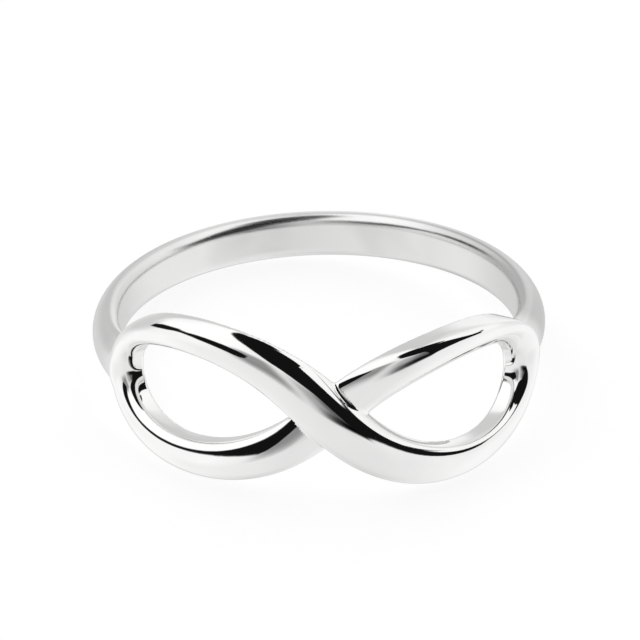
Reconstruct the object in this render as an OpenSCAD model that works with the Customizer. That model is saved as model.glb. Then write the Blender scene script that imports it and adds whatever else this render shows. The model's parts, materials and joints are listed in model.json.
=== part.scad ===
// Infinity ring: a plain half-round band whose front opens into a
// figure of eight, one strand crossing over the other.
// Millimetres, Z up, the figure of eight faces -Y. The ring lies on the
// floor plane on the band's back and the two lower curves of the eight.

/* [Finger hole] */
// Width of the finger hole
hole_d = 17.3; // [14.5:0.1:21]

/* [Band] */
// Width of the band, measured along the finger
band_w = 2.2; // [1.8:0.1:2.8]
// Thickness of the band in the middle of its width
band_t = 1.25; // [1:0.05:1.6]
// Height of the straight side of the band, below the domed part
band_side_t = 0.55; // [0.4:0.05:0.8]

/* [Figure of eight] */
// How far each loop reaches round the finger from the crossing, degrees
loop_reach = 65.8; // [55:0.2:72]
// How square the end of each loop is, 0 for a plain curve
loop_square = 0.124; // [0:0.002:0.16]
// Height of a strand's centre above and below the crossing
loop_rise = 2.75; // [2.3:0.01:3.2]
// How far the end of the right loop sits low, and the left one high
loop_slant = 0.47; // [0:0.01:0.7]
// Mean width of a strand
strand_w = 1.6; // [1.4:0.02:1.8]
// How much wider a strand is at the crossing, and narrower at the loop ends
strand_flare = 0.59; // [0.2:0.01:0.65]
// Mean height of a strand's straight side above the finger hole
strand_side_t = 0.55; // [0.5:0.01:0.8]
// Mean height of the dome on top of that side
strand_dome_t = 0.47; // [0.35:0.01:0.65]
// How much the upper strand climbs where it crosses over
cross_over = 0.47; // [0.36:0.01:0.7]
// How much the lower strand sinks where it passes under
cross_under = 0.53; // [0.35:0.01:0.6]

/* [Hidden] */
hole_r = hole_d / 2;
sink = 0.45;             // the raw metal starts this far inside the finger hole
edge_r = 0.25;           // rounded inner edge of the band
band_end = 180 - loop_reach;   // the band ends inside the loop ends
cross_reach = 24;        // the climb fades over this much of the path, degrees
stations = 90;           // steps along each strand
dome_steps = 8;          // steps across the dome
settle_rounds = 6;       // rounds used to find the resting plane

// ---- path of the strand ------------------------------------------------
// u runs 0..360 once round the eight: 0 over the crossing, 90 right end,
// 180 under the crossing, 270 left end.
// harmonics of the rise: [times round, millimetres]
RISE = [
    [1, loop_slant],
    [2, loop_rise],
    [3, 0.106],
    [4, -0.16]
];
function sum(v, i = 0) = i < len(v) ? v[i] + sum(v, i + 1) : 0;
function path_angle(u) = loop_reach * ((1 - loop_square) * sin(u) - loop_square * sin(3 * u));
function path_z(u) = -sum([for (h = RISE) h[1] * sin(h[0] * u)]);
function near(u, at) = let (d = (u - at + 900) % 360 - 180) exp(-pow(d / cross_reach, 2));

// ---- section of the strand ---------------------------------------------
function half_w(u) = (strand_w + strand_flare * cos(2 * u)) / 2;
function side_t(u) = strand_side_t - 0.126 * cos(2 * u) - 0.17 * cos(u)
    + cross_over * near(u, 0) - cross_under * near(u, 180);
function dome_t(u) = strand_dome_t - 0.104 * cos(2 * u);
function twist(u) = 16.4 * sin(u) - 10.7 * sin(2 * u);

function out_dir(a) = [sin(a), -cos(a), 0];
function unit(v) = v / norm(v);
function centre(u, r) = r * out_dir(path_angle(u)) + [0, 0, path_z(u)];
function along(u) = let (r = hole_r + side_t(u), d = 0.05)
    unit(centre(u + d, r) - centre(u - d, r));

// closed outline of the section at u
function section(u) =
    let (
        o = out_dir(path_angle(u)),
        w0 = unit(cross(along(u), o)),
        t = twist(u),
        w = w0 * cos(t) + o * sin(t),
        n = o * cos(t) - w0 * sin(t),
        a = half_w(u),
        top = centre(u, hole_r + side_t(u)),
        low = centre(u, hole_r - sink)
    )
    concat(
        [low + w0 * a * 0.96, low, low - w0 * a * 0.96],
        [for (j = [0 : dome_steps])
            let (s = -cos(180 * j / dome_steps), h = pow(max(0, 1 - s * s), 0.6))
            top + w * a * s + n * dome_t(u) * h]
    );
function rows(u0, u1) = [for (i = [0 : stations]) section((u0 + (u1 - u0) * i / stations + 360) % 360)];

// strand from u0 to u1, closed at both ends
module strand(u0, u1) {
    r = rows(u0, u1);
    m = len(r[0]);
    e = stations * m;
    sides = [for (i = [0 : stations - 1]) for (j = [0 : m - 1])
        let (a = i * m + j, b = i * m + (j + 1) % m)
        for (f = [[a, a + m, b], [b, a + m, b + m]]) f];
    first = [for (j = [1 : m - 2]) [0, j, j + 1]];
    last = [for (j = [1 : m - 2]) [e, e + j + 1, e + j]];
    polyhedron(points = [for (row = r) for (p = row) p],
        faces = concat(sides, first, last), convexity = 10);
}

// ---- band ---------------------------------------------------------------
// half-round profile with rounded inner edges
module band_profile() {
    h = band_w / 2;
    sag = band_t - band_side_t;
    dome_r = (h * h + sag * sag) / (2 * sag);
    intersection() {
        union() {
            translate([hole_r - sink, edge_r - h])
                square([band_t + sink, band_w - 2 * edge_r]);
            translate([hole_r + 0.8 * edge_r, -h])
                square([band_t, band_w]);
            for (s = [-1, 1])
                translate([hole_r + 0.8 * edge_r, s * (h - edge_r)])
                    circle(r = edge_r, $fn = 32);
        }
        translate([hole_r + band_t - dome_r, 0])
            circle(r = dome_r, $fn = 96);
    }
}
module band() {
    rotate([0, 0, 90 - band_end])
        rotate_extrude(angle = 2 * band_end, $fn = 144)
            band_profile();
}

// ---- resting plane ------------------------------------------------------
// the ring stands on three points: one under each lower curve of the
// eight and one under the back of the band
low_right = [for (u = [25 : 2.5 : 70]) for (p = section(u)) p];
low_left = [for (u = [200 : 2.5 : 250]) for (p = section(u)) p];
function lowest(pts, n) = let (h = [for (p = pts) p * n], m = min(h))
    [for (i = [0 : len(pts) - 1]) if (h[i] == m) pts[i]][0];
function band_low(n) = let (r = hole_r + band_side_t, d = norm([n[0], n[1]]))
    d < 1e-6 ? [0, r, -band_w / 2] : [-r * n[0] / d, -r * n[1] / d, -band_w / 2];
function settle(n, i = 0) = i == settle_rounds ? n :
    let (a = lowest(low_left, n), b = lowest(low_right, n), c = band_low(n))
    settle(unit(cross(b - a, c - a)), i + 1);
up = settle(unit([0, -0.16, 1]));
floor_h = band_low(up) * up;

// size of the resting ring, used to centre it over the origin
turn = acos(up[2]);
turn_axis = unit(cross(up, [0, 0, 1]));
function turned(p) = p * cos(turn) + cross(turn_axis, p) * sin(turn)
    + turn_axis * (turn_axis * p) * (1 - cos(turn));
rim = [for (a = [0 : 3 : 357]) for (q = [[band_side_t, band_w / 2], [band_t, 0], [band_side_t, -band_w / 2]])
    if (abs((a + 90) % 360 - 180) <= band_end)
    turned([(hole_r + q[0]) * cos(a), (hole_r + q[0]) * sin(a), q[1]])];
loops = [for (u = [0 : 4 : 356]) for (p = section(u)) turned(p)];
body = concat(rim, loops);
function mid(k) = let (v = [for (p = body) p[k]]) (min(v) + max(v)) / 2;

module ring() {
    color([0.86, 0.86, 0.85])
    translate([-mid(0), -mid(1), -floor_h])
    rotate(a = turn, v = turn_axis)
    difference() {
        union() {
            band();
            strand(-90, 90);
            strand(90, 270);
        }
        cylinder(r = hole_r, h = 24, center = true, $fn = 180);
    }
}

ring();
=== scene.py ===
import json
import math

import bpy
import numpy as np
from mathutils import Matrix, Vector


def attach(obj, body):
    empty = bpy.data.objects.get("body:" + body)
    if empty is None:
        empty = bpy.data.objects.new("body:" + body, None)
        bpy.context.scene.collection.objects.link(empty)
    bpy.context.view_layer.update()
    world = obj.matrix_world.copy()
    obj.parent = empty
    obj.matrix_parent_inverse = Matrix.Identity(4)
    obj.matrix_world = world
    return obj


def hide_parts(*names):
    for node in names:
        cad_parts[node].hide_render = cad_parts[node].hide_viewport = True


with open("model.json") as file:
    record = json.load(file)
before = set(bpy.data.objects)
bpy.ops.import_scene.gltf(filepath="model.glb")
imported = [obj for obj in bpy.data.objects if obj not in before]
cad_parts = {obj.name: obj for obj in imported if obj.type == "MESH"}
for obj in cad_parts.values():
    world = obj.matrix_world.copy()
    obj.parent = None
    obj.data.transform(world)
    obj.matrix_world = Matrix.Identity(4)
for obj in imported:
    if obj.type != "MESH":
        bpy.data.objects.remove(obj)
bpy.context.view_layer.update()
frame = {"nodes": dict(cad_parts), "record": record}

# =====================================================================
# The frame of the finger hole
# =====================================================================
# The ring is modelled in millimetres about its finger hole: Z runs along
# the hole, the figure of eight faces -Y.  The hole's own place and axis in
# the resting part come from the mount.
hole = next(m for m in frame["record"]["mounts"] if m["name"] == "finger_hole")
HOLE_R = hole["dims"]["r_mm"]
centre = np.array(hole["pos_m"])
rest = np.array(Vector((0, 0, 1)).rotation_difference(Vector(hole["axis"]).normalized()).to_matrix())


def placed(points_mm):
    """Millimetres about the finger hole to metres in the row frame."""
    return points_mm @ rest.T * 1e-3 + centre


# =====================================================================
# Shape of the ring, as a field that is negative inside the metal
# =====================================================================
BAND_H, BAND_T, BAND_SIDE = 1.10, 1.25, 0.55          # half width, thickness, straight side
SAG = BAND_T - BAND_SIDE
DOME_R = (BAND_H ** 2 + SAG ** 2) / (2 * SAG)
DOME_C = HOLE_R + BAND_T - DOME_R
REACH, SQUARE = math.radians(65.8), 0.124            # loop ends, and how square they are
SPAN = [(math.radians(-100), math.radians(100)), (math.radians(80), math.radians(280))]


# the path of the strand: u runs once round the eight, 0 over the crossing,
# 90 the right end, 180 under the crossing, 270 the left end
def angle_of(u):
    return REACH * ((1 - SQUARE) * np.sin(u) - SQUARE * np.sin(3 * u))


def angle_rate(u):
    return REACH * ((1 - SQUARE) * np.cos(u) - 3 * SQUARE * np.cos(3 * u))


def near(u, at):
    d = (u - at + math.pi) % (2 * math.pi) - math.pi
    return np.exp(-(d / math.radians(24)) ** 2)


def series(u, base, cosines=(), sines=(), over=0.0, under=0.0):
    """A base value, waves once, twice... round the eight, and a swelling at either side of the crossing."""
    v = base + over * near(u, 0) + under * near(u, math.pi)
    for i, c in enumerate(cosines, 1):
        v = v + c * np.cos(i * u)
    for i, s in enumerate(sines, 1):
        v = v + s * np.sin(i * u)
    return v


RISE_COS, RISE_SIN = (0.016, 0.004), (-0.471, -2.746, -0.106, 0.160)


def z_of(u):
    return series(u, -0.058, RISE_COS, RISE_SIN)


def z_rate(u):
    return series(u, 0.0, [i * s for i, s in enumerate(RISE_SIN, 1)], [-i * c for i, c in enumerate(RISE_COS, 1)])


def half_width(u):
    return series(u, 0.803, (0.007, 0.297), (0.012, 0.003), over=0.025, under=-0.040)


def height(u):
    """Top of the strand above the finger hole."""
    return series(u, 1.020, (-0.175, -0.229), (0.012, 0.011), over=0.465, under=-0.525)


def fullness(u):
    """2 for sides that lean in like an oval's, 6 and more for upright ones."""
    return series(u, 4.771, (0.0, -1.107), (0.857, 0.992), over=1.062, under=-1.733)


def lopsided(u):
    """How much fuller the upper side is than the lower one."""
    return series(u, 0.832, (0.864, 0.438), (0.387, -0.549, 0.313), over=0.776, under=-0.394)


def lean(u):
    """How much higher the crown stands on the upper side."""
    return series(u, 0.022, (0.030, -0.044, 0.068), (0.111, -0.182, -0.096), over=-0.046, under=0.022)


def crown(u):
    """2 for a round crown, less for one that comes to a soft ridge."""
    return series(u, 1.777, (0.0, -0.171), (0.0, 0.019), over=0.079, under=-0.034)


def section_frame(P, u):
    """How far P is ahead of the section at u, and its place across and above that section."""
    th = angle_of(u)
    c, s = np.cos(th), np.sin(th)
    a, b = (HOLE_R + 0.7) * angle_rate(u), z_rate(u)
    L = np.hypot(a, b)
    A, B = a / L, b / L
    pe = P[:, 0] * c + P[:, 1] * s
    pz = P[:, 2] - z_of(u)
    return pe * A + pz * B, pe * B - pz * A, P[:, 0] * s - P[:, 1] * c - HOLE_R, L


def solve_u(P, u, u0, u1, rounds):
    d = 1e-3
    for _ in range(rounds):
        F, _, _, L = section_frame(P, u)
        g = (section_frame(P, u + d)[0] - F) / d
        g = np.where(g < -0.25 * L, g, -0.25 * L)
        u = np.clip(u - F / g, u0, u1)
    return u


def strand(P, u, u0, u1, rounds):
    """Strand with a domed section that stands on the finger hole."""
    u = solve_u(P, u, u0, u1, rounds)
    F, x, h, _ = section_frame(P, u)
    a = half_width(u)
    t = x / a
    p = np.clip(fullness(u) + lopsided(u) * np.tanh(1.5 * t), 1.6, 8)
    m = np.clip(crown(u), 1.6, 4)
    tall = height(u) * np.maximum(1 + lean(u) * t, 0.2)
    q = np.maximum(h, 0) / tall
    ta = np.sqrt(t * t + 1e-4)
    G = ta ** m + q ** p - 1
    gy = p * q ** (p - 1) / tall
    gx = m * ta ** (m - 1) / a * np.sign(t) - gy * q * height(u) * lean(u) / a
    f = G / np.maximum(np.hypot(gx, gy), 0.8 / a)
    return np.where(np.abs(F) > 1e-4, np.maximum(f, np.abs(F)), f), u


def joined(a, b, k):
    """Union with a round fillet of radius k."""
    k = np.maximum(k, 1e-9)
    return np.maximum(k, np.minimum(a, b)) - np.hypot(np.maximum(k - a, 0), np.maximum(k - b, 0))


def cut(a, b, k):
    """Intersection with a round edge of radius k."""
    return -joined(-a, -b, k)


def ease(x):
    x = np.clip(x, 0, 1)
    return x * x * x * (x * (6 * x - 15) + 10)


def field(P, U, rounds):
    r = np.hypot(P[:, 0], P[:, 1])
    th = np.abs(np.arctan2(P[:, 0], -P[:, 1]))
    z, deg = P[:, 2], np.degrees(th)
    fa, ua = strand(P, U[0], *SPAN[0], rounds)
    fb, ub = strand(P, U[1], *SPAN[1], rounds)
    k = 0.13 * (1 - ease((deg - 14) / 12))             # small fillet where the strands cross
    f = np.where(k > 1e-4, joined(fa, fb, k), np.minimum(fa, fb))
    band = cut(np.hypot(r - DOME_C, z) - DOME_R, np.abs(z) - BAND_H, 0.12)
    band = cut(band, (REACH - th) * r, 0.2)
    f = joined(f, band, 0.28)                          # the band runs into the loop ends
    return cut(f, HOLE_R - r, 0.13 + 0.42 * ease((deg - 62) / 24)), (ua, ub)


def gradient(P, U, h=2e-3):
    g = np.zeros_like(P)
    for i in range(3):
        d = np.zeros(3)
        d[i] = h
        g[:, i] = (field(P + d, U, 2)[0] - field(P - d, U, 2)[0]) / (2 * h)
    return g


def starts(P):
    """Nearest place on each half of the path, on the unrolled surface."""
    th = np.arctan2(P[:, 0], -P[:, 1]) * 9.4
    out = []
    for u0, u1 in SPAN:
        best, at = np.full(len(P), 1e9), np.zeros(len(P))
        for u in np.arange(u0, u1 + 0.001, math.radians(1)):
            d = (th - angle_of(u) * 9.4) ** 2 + (P[:, 2] - z_of(u)) ** 2
            m = d < best
            best[m], at[m] = d[m], u
        out.append(at)
    return out


# =====================================================================
# The field's surface as a mesh: one point in each cell that it crosses,
# on a grid of angle, height and radius, then every point moved onto it
# =====================================================================
def clear_signs(F):
    """No face of a cell may have its corners in a chequered pattern, which would pinch the mesh."""
    for _ in range(4):
        changed = 0
        for ax, bx in ((0, 1), (0, 2), (1, 2)):
            idx = [np.arange(n) for n in F.shape]
            corners = []
            for i in (0, 1):
                for j in (0, 1):
                    sel = [np.arange(n) for n in F.shape]
                    for axis, on in ((ax, i), (bx, j)):
                        if axis == 0:
                            sel[0] = (np.arange(F.shape[0]) + on) % F.shape[0]
                        else:
                            sel[axis] = np.arange(F.shape[axis] - 1) + on
                    for axis in (ax, bx):
                        if axis != 0:
                            sel[axis] = sel[axis][: F.shape[axis] - 1]
                    corners.append(sel)
            vals = [F[np.ix_(*s)] for s in corners]
            s00, s01, s10, s11 = (v < 0 for v in vals)
            bad = (s00 == s11) & (s01 == s10) & (s00 != s01)
            for at in np.argwhere(bad):
                options = []
                for s, v in zip(corners, vals):
                    options.append((abs(v[tuple(at)]), tuple(int(s[k][at[k]]) for k in range(3))))
                size, where = min(options)
                F[where] = 1e-4 if F[where] < 0 else -1e-4
                changed += 1
        if not changed:
            break
    return F


def surface_net(F):
    N, M, K = F.shape
    S = F < 0
    F2, S2 = np.concatenate([F, F[:1]]), np.concatenate([S, S[:1]])
    shape = (N, M - 1, K - 1)

    def corner(A, i, j, k):
        return A[i:i + N, j:j + M - 1, k:k + K - 1]

    total, count, inside = np.zeros(shape + (3,)), np.zeros(shape), np.zeros(shape, int)
    for i in (0, 1):
        for j in (0, 1):
            for k in (0, 1):
                inside += corner(S2, i, j, k)
    for axis in range(3):
        rest_axes = [x for x in range(3) if x != axis]
        for a in (0, 1):
            for b in (0, 1):
                lo = [0, 0, 0]
                lo[rest_axes[0]], lo[rest_axes[1]] = a, b
                hi = list(lo)
                hi[axis] = 1
                f0, f1 = corner(F2, *lo), corner(F2, *hi)
                cross = (f0 < 0) != (f1 < 0)
                t = np.where(cross, f0 / np.where(cross, f0 - f1, 1), 0)
                for x in range(3):
                    total[..., x] += np.where(cross, t if x == axis else lo[x], 0)
                count += cross
    used = (inside > 0) & (inside < 8)
    index = np.full(shape, -1)
    index[used] = np.arange(used.sum())
    V = np.argwhere(used) + total[used] / count[used][:, None]
    quads = []

    def add(q, flip):
        quads.append(np.where(flip[:, None], q, q[:, ::-1]))

    i, j, k = np.nonzero((S2[:N] != S2[1:N + 1])[:, 1:M - 1, 1:K - 1])
    j, k = j + 1, k + 1
    add(np.stack([index[i, j - 1, k - 1], index[i, j, k - 1], index[i, j, k], index[i, j - 1, k]], 1), S[i, j, k])
    i, j, k = np.nonzero((S[:, :-1] != S[:, 1:])[:, :, 1:K - 1])
    k, im = k + 1, (i - 1) % N
    add(np.stack([index[im, j, k - 1], index[im, j, k], index[i, j, k], index[i, j, k - 1]], 1), S[i, j, k])
    i, j, k = np.nonzero((S[:, :, :-1] != S[:, :, 1:])[:, 1:M - 1])
    j, im = j + 1, (i - 1) % N
    add(np.stack([index[im, j - 1, k], index[i, j - 1, k], index[i, j, k], index[im, j, k]], 1), S[i, j, k])
    return V, np.concatenate(quads)


def ring_mesh():
    """Points, quads and surface normals of the ring, in millimetres about the finger hole."""
    n, step = ((640, 0.092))
    th = np.arange(n) * 2 * math.pi / n
    z = np.arange(-4.55, 4.55 + step, step)
    r = np.arange(8.47, 10.75, step)
    T, Z = (g.ravel() for g in np.meshgrid(th, z, indexing="ij"))
    ua, ub = (np.repeat(u, len(r)) for u in starts(np.stack([9.4 * np.sin(T), -9.4 * np.cos(T), Z], 1)))
    T, Z, R = (g.ravel() for g in np.meshgrid(th, z, r, indexing="ij"))
    P = np.stack([R * np.sin(T), -R * np.cos(T), Z], 1)
    t = np.arctan2(P[:, 0], -P[:, 1])
    away = [np.hypot(np.angle(np.exp(1j * (t - angle_of(u)))) * 9.4, Z - z_of(u)) for u in (ua, ub)]
    close = (np.minimum(*away) < 1.9) | ((np.abs(Z) < 1.6) & (np.abs(t) > REACH - 0.2))
    F = np.full(len(P), 1.0)
    F[close] = field(P[close], (ua[close], ub[close]), 6)[0]
    V, Q = surface_net(clear_signs(F.reshape(n, len(z), len(r))))
    tv, zv, rv = V[:, 0] * 2 * math.pi / n, z[0] + V[:, 1] * step, r[0] + V[:, 2] * step
    X = np.stack([rv * np.sin(tv), -rv * np.cos(tv), zv], 1)
    _, U = field(X, starts(X), 8)
    E = np.concatenate([Q[:, [0, 1]], Q[:, [1, 2]], Q[:, [2, 3]], Q[:, [3, 0]]])
    share = np.bincount(E.ravel(), minlength=len(X)).astype(float)[:, None]

    def onto(X, U, times):
        for _ in range(times):
            f, U = field(X, U, 3)
            g = gradient(X, U)
            d = f[:, None] * g / np.maximum((g * g).sum(1), 0.05)[:, None]
            d *= np.minimum(1, 0.06 / np.maximum(np.linalg.norm(d, axis=1), 1e-9))[:, None]
            X = X - d
        return X, U

    X, U = onto(X, U, 3)
    for _ in range(5):                                   # even out the points along the surface
        mean = np.stack([np.bincount(E[:, 0], X[E[:, 1], i], len(X)) + np.bincount(E[:, 1], X[E[:, 0], i], len(X))
                         for i in range(3)], 1) / share
        g = gradient(X, U)
        g /= np.linalg.norm(g, axis=1)[:, None]
        d = mean - X
        X = X + 0.6 * (d - (d * g).sum(1)[:, None] * g)
        X, U = onto(X, U, 1)
    X, U = onto(X, U, 1)
    g = gradient(X, U)
    return X, Q, g / np.linalg.norm(g, axis=1)[:, None]


X, Q, N = ring_mesh()
mesh = bpy.data.meshes.new("ring_metal")
mesh.from_pydata(placed(X).tolist(), [], Q.tolist())
mesh.update()
mesh.shade_smooth()
mesh.normals_split_custom_set_from_vertices((N @ rest.T).tolist())
# how far each point is from the mirror-polished front: 0 on the figure of eight, 1 on the band, 2 inside the hole
deg = np.degrees(np.abs(np.arctan2(X[:, 0], -X[:, 1])))
r = np.hypot(X[:, 0], X[:, 1])
band = ease((deg - 66) / 16)
inner = ease((HOLE_R + 0.10 - r) / 0.10)
side = ease((deg - 66) / 12) * ease((165 - deg) / 45)          # where the sides of the band get painted shade: a darker base colour in place of the grey they reflect
# the painted shade is weaker on the -X side of the band
side = np.where(X[:, 0] < 0, 0.45, 1.0) * side
for name, values in (("band", band), ("inner", inner), ("side", side)):
    layer = mesh.attributes.new(name, "FLOAT", "POINT")
    layer.data.foreach_set("value", values.astype(np.float32))
ring = bpy.data.objects.new("ring_metal", mesh)
bpy.context.scene.collection.objects.link(ring)


# =====================================================================
# Small node helper: arithmetic on sockets
# =====================================================================
class Maths:
    def __init__(self, tree):
        self.tree = tree

    def node(self, kind, **props):
        n = self.tree.nodes.new(kind)
        for k, v in props.items():
            setattr(n, k, v)
        return n

    def put(self, value, socket):
        if isinstance(value, (int, float)):
            socket.default_value = value
        else:
            self.tree.links.new(value, socket)

    def op(self, operation, *values):
        n = self.node("ShaderNodeMath", operation=operation)
        for v, s in zip(values, n.inputs):
            self.put(v, s)
        return n.outputs[0]

    def ramp(self, value, lo, hi, to_lo=0.0, to_hi=1.0):
        n = self.node("ShaderNodeMapRange", interpolation_type="SMOOTHSTEP")
        for v, s in zip((value, lo, hi, to_lo, to_hi), n.inputs):
            self.put(v, s)
        return n.outputs[0]

    def curve(self, value, points):
        """Straight lines through the points, whose x and y are both 0..1."""
        n = self.node("ShaderNodeFloatCurve")
        c = n.mapping.curves[0]
        while len(c.points) < len(points):
            c.points.new(0.5, 0.5)
        for p, (x, y) in zip(c.points, points):
            p.location = (x, y)
            p.handle_type = "VECTOR"
        n.mapping.update()
        self.put(value, n.inputs["Value"])
        return n.outputs[0]

    def blend(self, t, a, b):
        n = self.node("ShaderNodeMix", data_type="FLOAT")
        for v, s in ((t, n.inputs[0]), (a, n.inputs[2]), (b, n.inputs[3])):
            self.put(v, s)
        return n.outputs[0]


# =====================================================================
# Polished silver
# =====================================================================
silver = bpy.data.materials.new("polished_silver")
silver.use_nodes = True
tree = silver.node_tree
tree.nodes.clear()
m = Maths(tree)
out = m.node("ShaderNodeOutputMaterial")
bsdf = m.node("ShaderNodeBsdfPrincipled")
tree.links.new(bsdf.outputs[0], out.inputs[0])
bsdf.inputs["Metallic"].default_value = 1.0
coord = m.node("ShaderNodeTexCoord").outputs["Object"]
on_band = m.node("ShaderNodeAttribute", attribute_name="band").outputs["Fac"]
on_inner = m.node("ShaderNodeAttribute", attribute_name="inner").outputs["Fac"]
on_side = m.node("ShaderNodeAttribute", attribute_name="side").outputs["Fac"]


def noise(scale, detail=3.0, rough=0.5, stretch=None):
    v = coord
    if stretch:
        mp = m.node("ShaderNodeMapping")
        mp.inputs["Scale"].default_value = stretch
        tree.links.new(coord, mp.inputs["Vector"])
        v = mp.outputs[0]
    n = m.node("ShaderNodeTexNoise")
    n.inputs["Scale"].default_value = scale
    n.inputs["Detail"].default_value = detail
    n.inputs["Roughness"].default_value = rough
    tree.links.new(v, n.inputs["Vector"])
    return n.outputs["Fac"]


cloud = noise(420.0, 3.0)                       # soft patches, about 2 mm across
grain = noise(9000.0, 2.0, 0.6)                 # fine polishing grain, about a tenth of a millimetre
lines = noise(2600.0, 4.0, 0.7, (0.25, 1.0, 3.0))
rough = m.blend(on_band, 0.035, 0.22)
rough = m.blend(on_inner, rough, 0.28)
rough = m.op("ADD", rough, m.ramp(cloud, 0.40, 0.75, 0.0, 0.03))
rough = m.op("ADD", rough, m.ramp(lines, 0.55, 0.80, 0.0, 0.02))
tree.links.new(rough, bsdf.inputs["Roughness"])
tone = m.node("ShaderNodeMix", data_type="RGBA")
tree.links.new(m.ramp(cloud, 0.35, 0.7), tone.inputs[0])
tone.inputs[6].default_value = (0.945, 0.945, 0.940, 1)
tone.inputs[7].default_value = (0.915, 0.915, 0.912, 1)
# base colour: polished silver with painted shade on the band's sides outside, satin silver inside the hole
base_and_shade = m.node("ShaderNodeMix", data_type="RGBA")
tree.links.new(on_inner, base_and_shade.inputs[0])
# painted shade: the band's sides mix towards a darker silver, 0.63
painted_side_shade = m.node("ShaderNodeMix", data_type="RGBA")
tree.links.new(on_side, painted_side_shade.inputs[0])
tree.links.new(tone.outputs[2], painted_side_shade.inputs[6])
painted_side_shade.inputs[7].default_value = (0.63, 0.63, 0.627, 1)
tree.links.new(painted_side_shade.outputs[2], base_and_shade.inputs[6])
satin_and_side_shade = m.node("ShaderNodeMix", data_type="RGBA")         # the satin inside is a little greyer, partly its own finish and partly painted shade inside the hole, and uneven; towards the band's sides it takes the darker tone as painted shade
tree.links.new(m.op("MAXIMUM", m.ramp(noise(260.0, 2.0), 0.38, 0.62), m.op("MULTIPLY", on_side, 1.8)), satin_and_side_shade.inputs[0])
satin_and_side_shade.inputs[6].default_value = (0.90, 0.90, 0.895, 1)
satin_and_side_shade.inputs[7].default_value = (0.80, 0.80, 0.795, 1)
tree.links.new(satin_and_side_shade.outputs[2], base_and_shade.inputs[7])
tree.links.new(base_and_shade.outputs[2], bsdf.inputs["Base Color"])
height = m.op("ADD", m.op("MULTIPLY", noise(1500.0, 2.0), 1.0), m.op("MULTIPLY", grain, 0.05))
bump = m.node("ShaderNodeBump")
bump.inputs["Strength"].default_value = 0.10
bump.inputs["Distance"].default_value = 0.00002
tree.links.new(height, bump.inputs["Height"])
tree.links.new(bump.outputs[0], bsdf.inputs["Normal"])
mesh.materials.append(silver)

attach(ring, "root")
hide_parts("ring")
for slot in frame["nodes"]["ring"].material_slots:
    slot.material = silver

# =====================================================================
# Floor
# =====================================================================
pale = bpy.data.materials.new("pale_floor")
pale.use_nodes = True
tree = pale.node_tree
tree.nodes.clear()
f = Maths(tree)
out = f.node("ShaderNodeOutputMaterial")
diffuse = f.node("ShaderNodeBsdfDiffuse")
diffuse.inputs["Color"].default_value = (0.36, 0.36, 0.36, 1)
glow = f.node("ShaderNodeEmission")
glow.inputs["Color"].default_value = (1, 1, 1, 1)
glow.inputs["Strength"].default_value = 0.78
add = f.node("ShaderNodeAddShader")
tree.links.new(diffuse.outputs[0], add.inputs[0])
tree.links.new(glow.outputs[0], add.inputs[1])
tree.links.new(add.outputs[0], out.inputs[0])
plane = bpy.data.meshes.new("floor")
half = 2.0
plane.from_pydata([(-half, -half, 0), (half, -half, 0), (half, half, 0), (-half, half, 0)], [], [(0, 1, 2, 3)])
plane.materials.append(pale)
floor = bpy.data.objects.new("floor", plane)
floor.location.z = -0.00006
bpy.context.scene.collection.objects.link(floor)
floor.visible_glossy = False       # the metal sees the tent's own white floor instead

# =====================================================================
# Light tent: soft white all round, open at the front and above
# =====================================================================
# Azimuth 0 is towards the front (-Y), 90 towards +X; all in degrees.
# The dark opening lies between LOW and TOP, and above ROOF.
LOW = [(-180, 50), (-124, 20), (-119, 14), (-105, 15), (-92, 18), (-86, 22), (-78, 23), (-68, 21), (-60, 18),
       (-42, 13), (-35, 11), (-31, 13), (-28, 18), (-24, 30), (-20, 48), (-12, 56), (0, 45), (8, 41), (15, 37),
       (25, 32), (29, 29), (33, 17), (36, 3), (39, -5), (46, 0), (58, 6), (63, 7), (68, 8), (73, 10), (77, 13),
       (80, 18), (84, 26), (92, 31), (100, 37), (120, 50), (180, 60)]
TOP = [(-180, 45), (-124, 20), (-117, 26), (-105, 30), (-92, 33), (-86, 31), (-78, 31), (-68, 34), (-60, 35),
       (-42, 35), (-30, 33), (-25, 30), (-20, 28), (-12, 34), (-6, 50), (0, 66), (12, 84), (44, 88), (54, 76),
       (62, 66), (69, 54), (73, 40), (76, 31), (84, 31), (92, 34), (100, 38), (120, 44), (180, 45)]
ROOF = [(-180, 92), (-150, 86), (-120, 82), (-90, 79), (-60, 75), (-45, 72), (-30, 67), (-20, 63), (-10, 55),
        (0, 45), (10, 50), (30, 64), (50, 72), (74, 66), (90, 72), (110, 84), (180, 92)]
# how bright the white cloth looks below, round and above the ring, 0 to 1
BELOW = [(-180, 0.85), (-135, 0.87), (-114, 0.92), (-102, 0.97), (-78, 0.96), (-60, 0.93), (-30, 0.90), (0, 0.88),
         (30, 0.88), (60, 0.93), (84, 0.96), (116, 0.96), (138, 0.87), (180, 0.85)]
ROUND = [(-180, 0.87), (-173, 0.80), (-128, 0.79), (-112, 0.84), (-98, 0.94), (-60, 0.97), (-36, 0.90), (0, 0.87),
         (15, 0.85), (24, 0.80), (34, 0.90), (90, 0.94), (120, 0.91), (148, 0.88), (158, 0.95), (175, 0.94), (180, 0.87)]
ABOVE = [(-180, 0.79), (-163, 0.78), (-155, 0.81), (-147, 0.96), (-120, 1.0), (-90, 1.0), (-30, 0.98), (0, 0.9),
         (60, 0.94), (90, 0.97), (120, 0.96), (150, 0.94), (163, 0.87), (172, 0.85), (180, 0.79)]

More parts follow.
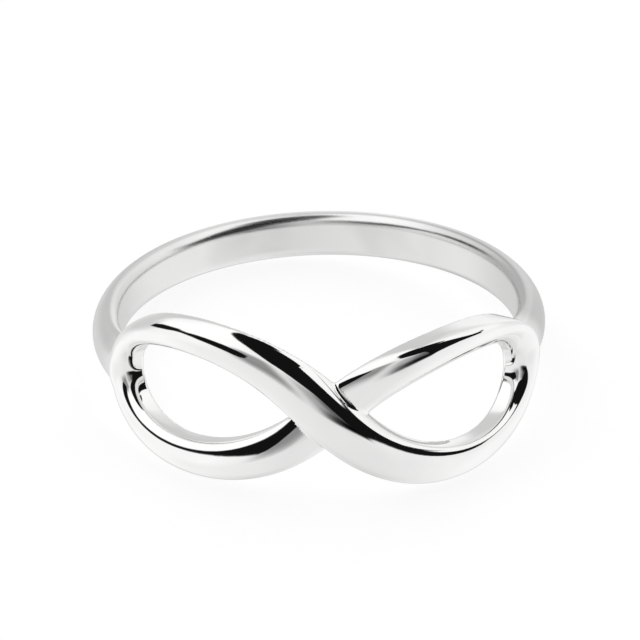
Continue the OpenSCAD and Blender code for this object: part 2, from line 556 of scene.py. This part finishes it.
world = bpy.data.worlds.new("light_tent")
bpy.context.scene.world = world
world.use_nodes = True
tree = world.node_tree
tree.nodes.clear()
w = Maths(tree)
xyz = w.node("ShaderNodeSeparateXYZ")
tree.links.new(w.node("ShaderNodeTexCoord").outputs["Generated"], xyz.inputs[0])
dx, dy, dz = xyz.outputs
az = w.op("MULTIPLY", w.op("ARCTAN2", dx, w.op("MULTIPLY", dy, -1.0)), 180 / math.pi)
el = w.op("MULTIPLY", w.op("ARCSINE", dz), 180 / math.pi)
turn = w.op("ADD", w.op("DIVIDE", az, 360.0), 0.5)


def edge(points):
    """A height in degrees that follows the azimuth."""
    c = w.curve(turn, [((a + 180) / 360, (e + 30) / 140) for a, e in points])
    return w.op("SUBTRACT", w.op("MULTIPLY", c, 140.0), 30.0)


def cloth(points):
    return w.curve(turn, [((a + 180) / 360, v) for a, v in points])


opening = w.op("MULTIPLY", w.ramp(w.op("SUBTRACT", el, edge(LOW)), -2.0, 2.0),
               w.ramp(w.op("SUBTRACT", edge(TOP), el), -2.0, 2.0))
opening = w.op("MAXIMUM", opening, w.ramp(w.op("SUBTRACT", el, edge(ROOF)), -2.0, 2.0))
tent = w.blend(w.ramp(el, -22.0, 2.0), cloth(BELOW), cloth(ROUND))
tent = w.blend(w.ramp(el, 14.0, 32.0), tent, cloth(ABOVE))


def patch(left, right, low, high):
    """1 inside a soft window; each side is the pair of angles that its fade runs between."""
    return w.op("MULTIPLY", w.op("MULTIPLY", w.ramp(az, *left), w.ramp(az, *right)),
                w.op("MULTIPLY", w.ramp(el, *low), w.ramp(el, *high)))


# grey things behind the cloth: a stand left of the opening, a haze and a dark bar right of it
shade = w.op("MULTIPLY", patch((-42.0, -26.0), (2.0, -14.0), (-8.0, 16.0), (46.0, 34.0)), 0.42)
shade = w.op("ADD", shade, w.op("MULTIPLY", patch((-6.0, 14.0), (43.0, 38.0), (-10.0, -2.0), (42.0, 26.0)), 0.27))
shade = w.op("ADD", shade, w.op("MULTIPLY", patch((14.0, 32.0), (43.0, 38.0), (-8.0, 0.0), (36.0, 24.0)), 0.34))
shade = w.op("ADD", shade, w.op("MULTIPLY", patch((4.0, 20.0), (43.0, 38.0), (-10.0, -4.0), (14.0, 0.0)), 0.38))
shade = w.op("ADD", shade, w.op("MULTIPLY", w.ramp(el, -42.0, -80.0), 0.07))      # the floor under the ring is a little darker
tent = w.op("MULTIPLY", tent, w.op("SUBTRACT", 1.04, shade))
tent = w.blend(opening, tent, 0.10)
light = w.op("POWER", tent, 2.2)
camera_ray = w.node("ShaderNodeLightPath").outputs["Is Camera Ray"]
light = w.blend(camera_ray, light, 1.0)
ground = w.node("ShaderNodeBackground")
ground.inputs["Color"].default_value = (1, 1, 1, 1)
w.put(light, ground.inputs["Strength"])
tree.links.new(ground.outputs[0], w.node("ShaderNodeOutputWorld").inputs[0])

# =====================================================================
# Camera
# =====================================================================
AZ, EL, ROLL = math.radians(-2.461), math.radians(26.36), math.radians(-1.803)
DIST_MM, FOCAL_PX, AT = 160.0, 3652.7, (318.69, 321.02)
d = np.array([math.sin(AZ) * math.cos(EL), -math.cos(AZ) * math.cos(EL), math.sin(EL)])
right = np.array([math.cos(AZ), math.sin(AZ), 0.0])
up = np.cross(d, right)
right, up = math.cos(ROLL) * right + math.sin(ROLL) * up, math.cos(ROLL) * up - math.sin(ROLL) * right
d, right, up = rest @ d, rest @ right, rest @ up
place = centre + 1e-3 * DIST_MM * (d + (320 - AT[0]) / FOCAL_PX * right - (320 - AT[1]) / FOCAL_PX * up)
cam_data = bpy.data.cameras.new("camera")
cam_data.sensor_width = 36.0
cam_data.sensor_fit = "HORIZONTAL"
cam_data.lens = FOCAL_PX / 640 * 36.0
cam_data.clip_start, cam_data.clip_end = 0.005, 20.0
cam = bpy.data.objects.new("camera", cam_data)
cam.matrix_world = Matrix.Translation(Vector(place)) @ Matrix([right, up, d]).transposed().to_4x4()
bpy.context.scene.collection.objects.link(cam)
bpy.context.scene.camera = cam

view = bpy.context.scene.view_settings
view.view_transform = "Standard"
view.look = "None"
view.exposure = 0.0
view.gamma = 1.0
